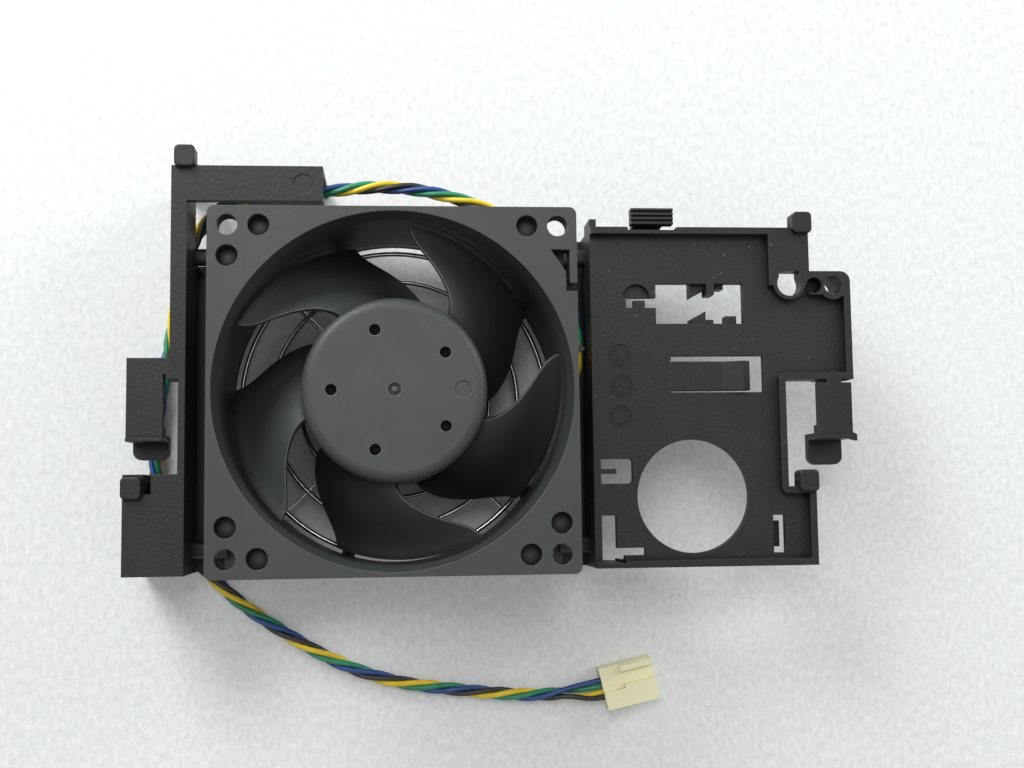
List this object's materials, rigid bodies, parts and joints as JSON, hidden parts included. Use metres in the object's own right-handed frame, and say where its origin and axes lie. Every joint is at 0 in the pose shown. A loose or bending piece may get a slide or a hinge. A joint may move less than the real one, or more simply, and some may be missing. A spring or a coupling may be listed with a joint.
{
  "type": "server fan module",
  "caption": "Axial fan with sickle blades and wire guard in a moulded carrier with side tray, latches and a plugged lead.",
  "frame": {"origin": "centre of the footprint on the surface the module rests on, free lead and plug left out", "axes": "+Z along the fan axis toward the intake face; +X from the fan toward the tray; +Y toward the long top arm"},
  "size_m": [0.1703, 0.1337, 0.045],
  "materials": {
    "frame_grey": "satin moulded",
    "impeller_grey": "satin moulded",
    "carrier_black": "fine spark texture",
    "guard_steel": "bright nickel plate",
    "screw_steel": "zinc plate",
    "yoke_steel": "drawn",
    "bearing_steel": "ground",
    "spring_steel": "spring temper",
    "shaft_steel": "ground",
    "brass_turned": "turned",
    "magnet_grey": "bonded",
    "lamination": "stamped",
    "bobbin_white": "moulded",
    "copper_wire": "enamelled",
    "board_green": "solder mask",
    "chip_black": "moulded",
    "lead_pvc": "wire insulation",
    "plug_ivory": "nylon",
    "contact_tin": "tin plate"
  },
  "bodies": {
    "housing": {"fan_frame": "frame_grey", "carrier_bracket": "carrier_black", "finger_guard": "guard_steel", "guard_screws": "screw_steel", "bearing_tube": "brass_turned", "front_bearing_outer": "bearing_steel", "front_bearing_balls": "bearing_steel", "rear_bearing_outer": "bearing_steel", "rear_bearing_balls": "bearing_steel", "stator_core": "lamination", "stator_insulator": "bobbin_white", "stator_windings": "copper_wire", "circuit_board": "board_green", "board_parts": "chip_black", "fan_lead": "lead_pvc", "free_lead": "lead_pvc", "plug_housing": "plug_ivory", "plug_contacts": "contact_tin"},
    "rotor": {"impeller": "impeller_grey", "rotor_yoke": "yoke_steel", "ring_magnet": "magnet_grey", "shaft": "shaft_steel", "shaft_boss": "brass_turned", "preload_washer": "spring_steel", "retaining_clip": "spring_steel", "front_bearing_inner": "bearing_steel", "rear_bearing_inner": "bearing_steel"},
    "left_latch_arm": {"left_latch": "carrier_black"},
    "right_latch_arm": {"right_latch": "carrier_black"},
    "grip_latch_arm": {"grip_latch": "carrier_black"},
    "snap_finger_arm": {"snap_finger": "carrier_black"}
  },
  "joints": [
    {"name": "impeller_spin", "type": "hinge", "parent": "housing", "child": "rotor", "pos_m": [-0.02373, -0.00892, 0.026], "axis": [0, 0, 1], "continuous": true},
    {"name": "left_latch_flex", "type": "hinge", "parent": "housing", "child": "left_latch_arm", "pos_m": [-0.07543, -0.00162, 0.021], "axis": [0, 0, 1], "range_deg": [0, 5.5], "stiffness_Nm_per_rad": 1.4},
    {"name": "right_latch_flex", "type": "hinge", "parent": "housing", "child": "right_latch_arm", "pos_m": [0.08007, -0.00532, 0.021], "axis": [0, 0, -1], "range_deg": [0, 5.5], "stiffness_Nm_per_rad": 1.4},
    {"name": "grip_latch_flex", "type": "hinge", "parent": "housing", "child": "grip_latch_arm", "pos_m": [0.03717, 0.03308, 0.0165], "axis": [1, 0, 0], "range_deg": [0, 4.5], "stiffness_Nm_per_rad": 1.6},
    {"name": "snap_finger_flex", "type": "hinge", "parent": "housing", "child": "snap_finger_arm", "pos_m": [0.04137, -0.00422, 0.0216], "axis": [0, 1, 0], "range_deg": [0, 8], "stiffness_Nm_per_rad": 0.5}
  ]
}
